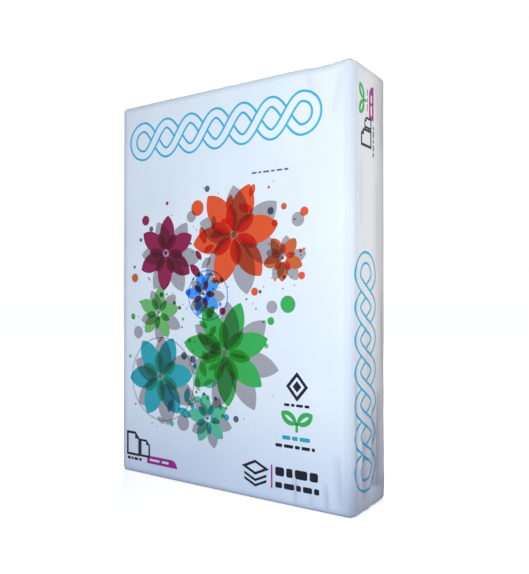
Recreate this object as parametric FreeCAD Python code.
import FreeCAD, Part
import os

Vector = FreeCAD.Vector

# A ream of A4 paper, sealed in its wrapper, standing on its bottom end. Lengths are in millimetres.
# X runs across the front, Y from the front to the back and Z up. The origin is the middle of the underside.

# The stack of sheets inside
SHEET_WIDTH = 210.0
SHEET_HEIGHT = 297.0
SHEET_COUNT = 500
SHEET_THICKNESS = 0.104

# The wrapper around it
WRAPPER_THICKNESS = 0.15
END_SLACK = 0.2  # between the stack and each folded end
FRONT_CROWN = 0.8  # how far the middle of the front stands out past its long edges
SIDE_BULGE = 0.3  # the same for each long side

# The rounded edges
FRONT_RIGHT_RADIUS = 5.0
FRONT_LEFT_RADIUS = 4.0
BACK_RADIUS = 4.0
END_RADIUS = 2.5

# The seam down the back, where one edge of the wrapper is glued over the other
SEAM_OVERLAP = 20.0
SEAM_OFFSET = 12.0  # from the middle of the back to the middle of the overlap

# The folded ends: the short sides tuck in first, then the back flap and the front flap close over them
FLAP_LENGTH = 38.0
FLAP_LAYERS = 2  # steps up from the tucks to the front flap

# The sag in the top end beside the right corner, which so stands up in a low peak
SAG_PLACE = 24.0  # from the right edge to the deepest line
SAG_REACH = 17.0  # from there to either side
SAG_DEPTH = 0.9

# Creases pressed into the wrapper: each is a dart, deepest in the middle of its length
CREASE_WIDTH = 3.0
CREASE_DEPTH = 0.4
# In from the front edge, then the lower and upper end, of each crease in the right side
SIDE_CREASES = ((7.0, 10.0, 74.0), (17.5, 8.0, 47.0), (38.5, 6.0, 72.0))
# In from the right edge, then the lower and upper end, of each crease at the foot of the front
FRONT_CREASES = ((43.0, 2.0, 17.0), (18.5, 2.0, 14.0))

STACK_DEPTH = SHEET_COUNT * SHEET_THICKNESS
HALF_WIDTH = SHEET_WIDTH / 2 + WRAPPER_THICKNESS
DEPTH = STACK_DEPTH + 2 * WRAPPER_THICKNESS
OVERALL_DEPTH = FRONT_CROWN + DEPTH + WRAPPER_THICKNESS  # the seam adds one layer at the back
FRONT_Y = FRONT_CROWN - OVERALL_DEPTH / 2  # the front's long edges
BACK_Y = FRONT_Y + DEPTH
FOLD_HEIGHT = FLAP_LAYERS * WRAPPER_THICKNESS
TUCK_BOTTOM = FOLD_HEIGHT
TUCK_TOP = TUCK_BOTTOM + SHEET_HEIGHT + 2 * (WRAPPER_THICKNESS + END_SLACK)
MARGIN = 5.0  # how far a cutting shape reaches past the pack


def bowed_edge(start, end, rise):
    """An edge from start to end whose middle stands out by rise, to the right of its direction."""
    along = end - start
    outward = Vector(along.y, -along.x, 0).normalize()
    middle = (start + end) * 0.5 + outward * rise
    return Part.Arc(start, middle, end).toShape()


def cross_section(back_y):
    """The pack's outline seen from above: a bowed front and sides and a flat back."""
    front_left = Vector(-HALF_WIDTH, FRONT_Y, 0)
    front_right = Vector(HALF_WIDTH, FRONT_Y, 0)
    back_right = Vector(HALF_WIDTH, back_y, 0)
    back_left = Vector(-HALF_WIDTH, back_y, 0)
    return Part.Wire(
        [
            bowed_edge(front_left, front_right, FRONT_CROWN),
            bowed_edge(front_right, back_right, SIDE_BULGE),
            Part.LineSegment(back_right, back_left).toShape(),
            bowed_edge(back_left, front_left, SIDE_BULGE),
        ]
    )


def round_long_edge(prism, x_side, y_side, radius):
    """Rounds the one upright edge of the prism that lies at the given corner, such as +1, -1."""
    corner = next(
        edge
        for edge in prism.Edges
        if edge.BoundBox.XLength < radius / 2
        and edge.BoundBox.YLength < radius / 2
        and edge.CenterOfMass.x * x_side > 0
        and edge.CenterOfMass.y * y_side > 0
    )
    return prism.makeFillet(radius, [corner])


def upright_body(layers, back_y):
    """The block with its long edges rounded. At both ends it reaches so many layers past the tucks."""
    rise = layers * WRAPPER_THICKNESS
    face = Part.Face(cross_section(back_y)).translated(Vector(0, 0, TUCK_BOTTOM - rise))
    prism = face.extrude(Vector(0, 0, TUCK_TOP - TUCK_BOTTOM + 2 * rise))
    prism = round_long_edge(prism, 1, -1, FRONT_RIGHT_RADIUS)
    prism = round_long_edge(prism, -1, -1, FRONT_LEFT_RADIUS)
    prism = round_long_edge(prism, 1, 1, BACK_RADIUS)
    return round_long_edge(prism, -1, 1, BACK_RADIUS)


def closed_body(layers, back_y):
    """The same block with the edges around its two ends rounded too."""
    body = upright_body(layers, back_y)
    rims = [edge for edge in body.Edges if edge.BoundBox.ZLength < SHEET_HEIGHT / 2]
    return body.makeFillet(END_RADIUS, rims)


def block_with_seam(layers):
    """The closed block with the glued overlap down the back, which is one layer proud of the rest."""
    height = TUCK_TOP + 2 * MARGIN
    corner = Vector(SEAM_OFFSET - SEAM_OVERLAP / 2, 0, -MARGIN)
    slab = Part.makeBox(SEAM_OVERLAP, OVERALL_DEPTH, height, corner)
    overlap = closed_body(layers, BACK_Y + WRAPPER_THICKNESS).common(slab)
    return closed_body(layers, BACK_Y).cut(slab).fuse(overlap)


def flap_outline(edge_y, inward):
    """A flap seen from above: slanted at 45 degrees from both corners, then straight to its free edge."""
    fold = DEPTH / 2
    points = [
        Vector(-HALF_WIDTH - MARGIN, edge_y - inward * MARGIN, 0),
        Vector(-HALF_WIDTH + fold, edge_y + inward * fold, 0),
        Vector(-HALF_WIDTH + fold, edge_y + inward * FLAP_LENGTH, 0),
    ]
    points += [Vector(-point.x, point.y, 0) for point in reversed(points)]
    return Part.Face(Part.makePolygon(points + points[:1]))


def flap_prism(edge_y, inward):
    """The upright prism over a flap's outline, which cuts the flap out of a block."""
    prism = flap_outline(edge_y, inward).extrude(Vector(0, 0, TUCK_TOP + 2 * MARGIN))
    return prism.translated(Vector(0, 0, -MARGIN))


def folded_block():
    """The block with the folds of both ends: tucks at the sides, then the back flap, then the front flap."""
    back_flap = flap_prism(BACK_Y, -1)
    front_flap = flap_prism(FRONT_Y, 1)
    tucks = block_with_seam(0).cut([back_flap, front_flap])
    behind = block_with_seam(1).common(back_flap).cut(front_flap)
    before = block_with_seam(FLAP_LAYERS).common(front_flap)
    return tucks.multiFuse([behind, before]).removeSplitter()


def sag():
    """A wide roller lying from front to back that presses the top down beside the right corner."""
    radius = (SAG_REACH**2 + SAG_DEPTH**2) / (2 * SAG_DEPTH)
    top = TUCK_TOP + FOLD_HEIGHT
    axis_x = HALF_WIDTH - SAG_PLACE
    start = Vector(axis_x, -OVERALL_DEPTH, top - SAG_DEPTH + radius)
    return Part.makeCylinder(radius, 2 * OVERALL_DEPTH, start, Vector(0, 1, 0))


def dart(low, high, across, inward):
    """A four-sided pyramid that presses a crease from low to high, which lie on the surface."""
    middle = (low + high) * 0.5
    lift = inward * -CREASE_DEPTH
    left = middle - across * (CREASE_WIDTH / 2) + lift
    right = middle + across * (CREASE_WIDTH / 2) + lift
    bottom = middle + inward * CREASE_DEPTH
    rim = [low + lift, right, high + lift, left]
    faces = [Part.Face(Part.makePolygon(rim + rim[:1]))]
    for first, second in zip(rim, rim[1:] + rim[:1]):
        faces.append(Part.Face(Part.makePolygon([first, second, bottom, first])))
    return Part.makeSolid(Part.makeShell(faces))


def creases():
    """Every crease of the right side and of the foot of the front."""
    side_x = HALF_WIDTH + SIDE_BULGE
    darts = []
    for place, low, high in SIDE_CREASES:
        y = FRONT_Y + place
        darts.append(
            dart(Vector(side_x, y, low), Vector(side_x, y, high), Vector(0, 1, 0), Vector(-1, 0, 0))
        )
    for place, low, high in FRONT_CREASES:
        x = HALF_WIDTH - place
        darts.append(
            dart(Vector(x, FRONT_Y, low), Vector(x, FRONT_Y, high), Vector(1, 0, 0), Vector(0, 1, 0))
        )
    return darts


def wrapped_ream():
    """The sealed pack: the stack and its wrapper as one solid."""
    return folded_block().cut([sag()] + creases())


os.makedirs("parts", exist_ok=True)
ream = wrapped_ream()
ream.exportStep("parts/wrapped_ream.step")
box = ream.optimalBoundingBox()
print("solids:", len(ream.Solids), "closed and valid:", ream.isValid())
print("size in mm:", round(box.XLength, 2), round(box.YLength, 2), round(box.ZLength, 2))
